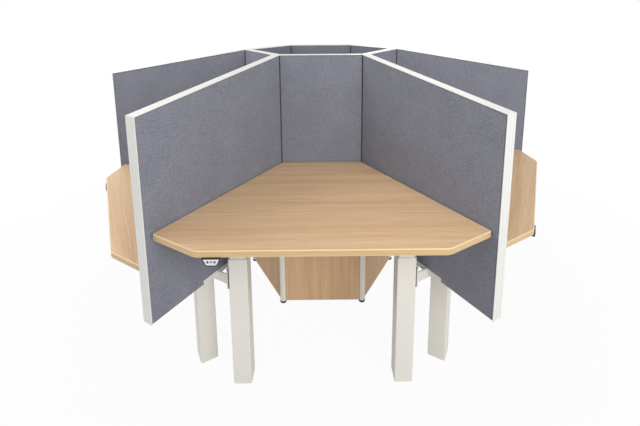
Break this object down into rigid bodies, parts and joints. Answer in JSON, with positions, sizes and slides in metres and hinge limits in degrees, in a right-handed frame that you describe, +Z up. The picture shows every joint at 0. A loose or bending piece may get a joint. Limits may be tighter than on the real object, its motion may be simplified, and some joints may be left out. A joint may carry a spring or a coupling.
{
  "type": "hexagonal sit-stand desk pod",
  "caption": "Hexagonal pod of height-adjustable desks round an open core, with sloping fabric-covered acoustic screens between the worktops.",
  "frame": {"origin": "on the floor at the centre of the hexagon", "axes": "+Z up, -Y towards the user of station 1, +X along a screen"},
  "size_m": [2.566, 2.428, 1.42],
  "materials": {
    "worktop_laminate": "satin wood-grain laminate",
    "core_laminate": "satin wood-grain laminate",
    "panel_board": "raw board",
    "acoustic_fabric": "mottled woven upholstery",
    "trim_paint": "matt powder coat",
    "post_paint": "satin powder coat",
    "column_paint": "satin powder coat",
    "frame_paint": "satin powder coat",
    "white_plastic": "fine moulded texture",
    "black_plastic": "fine moulded texture",
    "clamp_rubber": "matt",
    "drive_metal": "zinc plated",
    "handset_plastic": "fine moulded texture",
    "key_plastic": "smooth moulded"
  },
  "bodies": {
    "pod_frame": {"core_posts": "post_paint", "core_glides": "black_plastic", "core_lower_panels": "core_laminate", "core_boards": "panel_board", "core_pads": "acoustic_fabric", "core_trims": "trim_paint", "core_caps": "white_plastic", "screen_boards": "panel_board", "screen_pads": "acoustic_fabric", "screen_trims": "trim_paint", "screen_channels": "trim_paint", "bridge_saddles": "column_paint", "clamp_pads": "clamp_rubber", "outer_columns": "column_paint", "column_feet": "column_paint", "guide_liners": "black_plastic", "nut_tubes": "drive_metal"},
    "desk_1": {"worktop_1": "worktop_laminate", "desk_frame_1": "frame_paint", "inner_columns_1": "column_paint", "lift_drive_1": "drive_metal", "handset_1": "handset_plastic"},
    "up_key_1": {"up_button_1": "key_plastic"},
    "down_key_1": {"down_button_1": "key_plastic"},
    "desk_2": {"worktop_2": "worktop_laminate", "desk_frame_2": "frame_paint", "inner_columns_2": "column_paint", "lift_drive_2": "drive_metal", "handset_2": "handset_plastic"},
    "up_key_2": {"up_button_2": "key_plastic"},
    "down_key_2": {"down_button_2": "key_plastic"},
    "desk_3": {"worktop_3": "worktop_laminate", "desk_frame_3": "frame_paint", "inner_columns_3": "column_paint", "lift_drive_3": "drive_metal", "handset_3": "handset_plastic"},
    "up_key_3": {"up_button_3": "key_plastic"},
    "down_key_3": {"down_button_3": "key_plastic"},
    "desk_4": {"worktop_4": "worktop_laminate", "desk_frame_4": "frame_paint", "inner_columns_4": "column_paint", "lift_drive_4": "drive_metal", "handset_4": "handset_plastic"},
    "up_key_4": {"up_button_4": "key_plastic"},
    "down_key_4": {"down_button_4": "key_plastic"},
    "desk_5": {"worktop_5": "worktop_laminate", "desk_frame_5": "frame_paint", "inner_columns_5": "column_paint", "lift_drive_5": "drive_metal", "handset_5": "handset_plastic"},
    "up_key_5": {"up_button_5": "key_plastic"},
    "down_key_5": {"down_button_5": "key_plastic"},
    "desk_6": {"worktop_6": "worktop_laminate", "desk_frame_6": "frame_paint", "inner_columns_6": "column_paint", "lift_drive_6": "drive_metal", "handset_6": "handset_plastic"},
    "up_key_6": {"up_button_6": "key_plastic"},
    "down_key_6": {"down_button_6": "key_plastic"}
  },
  "joints": [
    {"name": "desk_1_lift", "type": "slide", "parent": "pod_frame", "child": "desk_1", "axis": [0, 0, 1], "range_m": [-0.17, 0.31]},
    {"name": "desk_1_up_press", "type": "slide", "parent": "desk_1", "child": "up_key_1", "axis": [0, 1, 0], "range_m": [0, 0.001], "stiffness_N_per_m": 800, "springref_m": -0.001},
    {"name": "desk_1_down_press", "type": "slide", "parent": "desk_1", "child": "down_key_1", "axis": [0, 1, 0], "range_m": [0, 0.001], "stiffness_N_per_m": 800, "springref_m": -0.001},
    {"name": "desk_2_lift", "type": "slide", "parent": "pod_frame", "child": "desk_2", "axis": [0, 0, 1], "range_m": [-0.015, 0.465]},
    {"name": "desk_2_up_press", "type": "slide", "parent": "desk_2", "child": "up_key_2", "axis": [0.866, 0.5, 0], "range_m": [0, 0.001], "stiffness_N_per_m": 800, "springref_m": -0.001},
    {"name": "desk_2_down_press", "type": "slide", "parent": "desk_2", "child": "down_key_2", "axis": [0.866, 0.5, 0], "range_m": [0, 0.001], "stiffness_N_per_m": 800, "springref_m": -0.001},
    {"name": "desk_3_lift", "type": "slide", "parent": "pod_frame", "child": "desk_3", "axis": [0, 0, 1], "range_m": [-0.055, 0.425]},
    {"name": "desk_3_up_press", "type": "slide", "parent": "desk_3", "child": "up_key_3", "axis": [0.866, -0.5, 0], "range_m": [0, 0.001], "stiffness_N_per_m": 800, "springref_m": -0.001},
    {"name": "desk_3_down_press", "type": "slide", "parent": "desk_3", "child": "down_key_3", "axis": [0.866, -0.5, 0], "range_m": [0, 0.001], "stiffness_N_per_m": 800, "springref_m": -0.001},
    {"name": "desk_4_lift", "type": "slide", "parent": "pod_frame", "child": "desk_4", "axis": [0, 0, 1], "range_m": [-0.055, 0.425]},
    {"name": "desk_4_up_press", "type": "slide", "parent": "desk_4", "child": "up_key_4", "axis": [0, -1, 0], "range_m": [0, 0.001], "stiffness_N_per_m": 800, "springref_m": -0.001},
    {"name": "desk_4_down_press", "type": "slide", "parent": "desk_4", "child": "down_key_4", "axis": [0, -1, 0], "range_m": [0, 0.001], "stiffness_N_per_m": 800, "springref_m": -0.001},
    {"name": "desk_5_lift", "type": "slide", "parent": "pod_frame", "child": "desk_5", "axis": [0, 0, 1], "range_m": [-0.055, 0.425]},
    {"name": "desk_5_up_press", "type": "slide", "parent": "desk_5", "child": "up_key_5", "axis": [-0.866, -0.5, 0], "range_m": [0, 0.001], "stiffness_N_per_m": 800, "springref_m": -0.001},
    {"name": "desk_5_down_press", "type": "slide", "parent": "desk_5", "child": "down_key_5", "axis": [-0.866, -0.5, 0], "range_m": [0, 0.001], "stiffness_N_per_m": 800, "springref_m": -0.001},
    {"name": "desk_6_lift", "type": "slide", "parent": "pod_frame", "child": "desk_6", "axis": [0, 0, 1], "range_m": [-0.095, 0.385]},
    {"name": "desk_6_up_press", "type": "slide", "parent": "desk_6", "child": "up_key_6", "axis": [-0.866, 0.5, 0], "range_m": [0, 0.001], "stiffness_N_per_m": 800, "springref_m": -0.001},
    {"name": "desk_6_down_press", "type": "slide", "parent": "desk_6", "child": "down_key_6", "axis": [-0.866, 0.5, 0], "range_m": [0, 0.001], "stiffness_N_per_m": 800, "springref_m": -0.001}
  ]
}
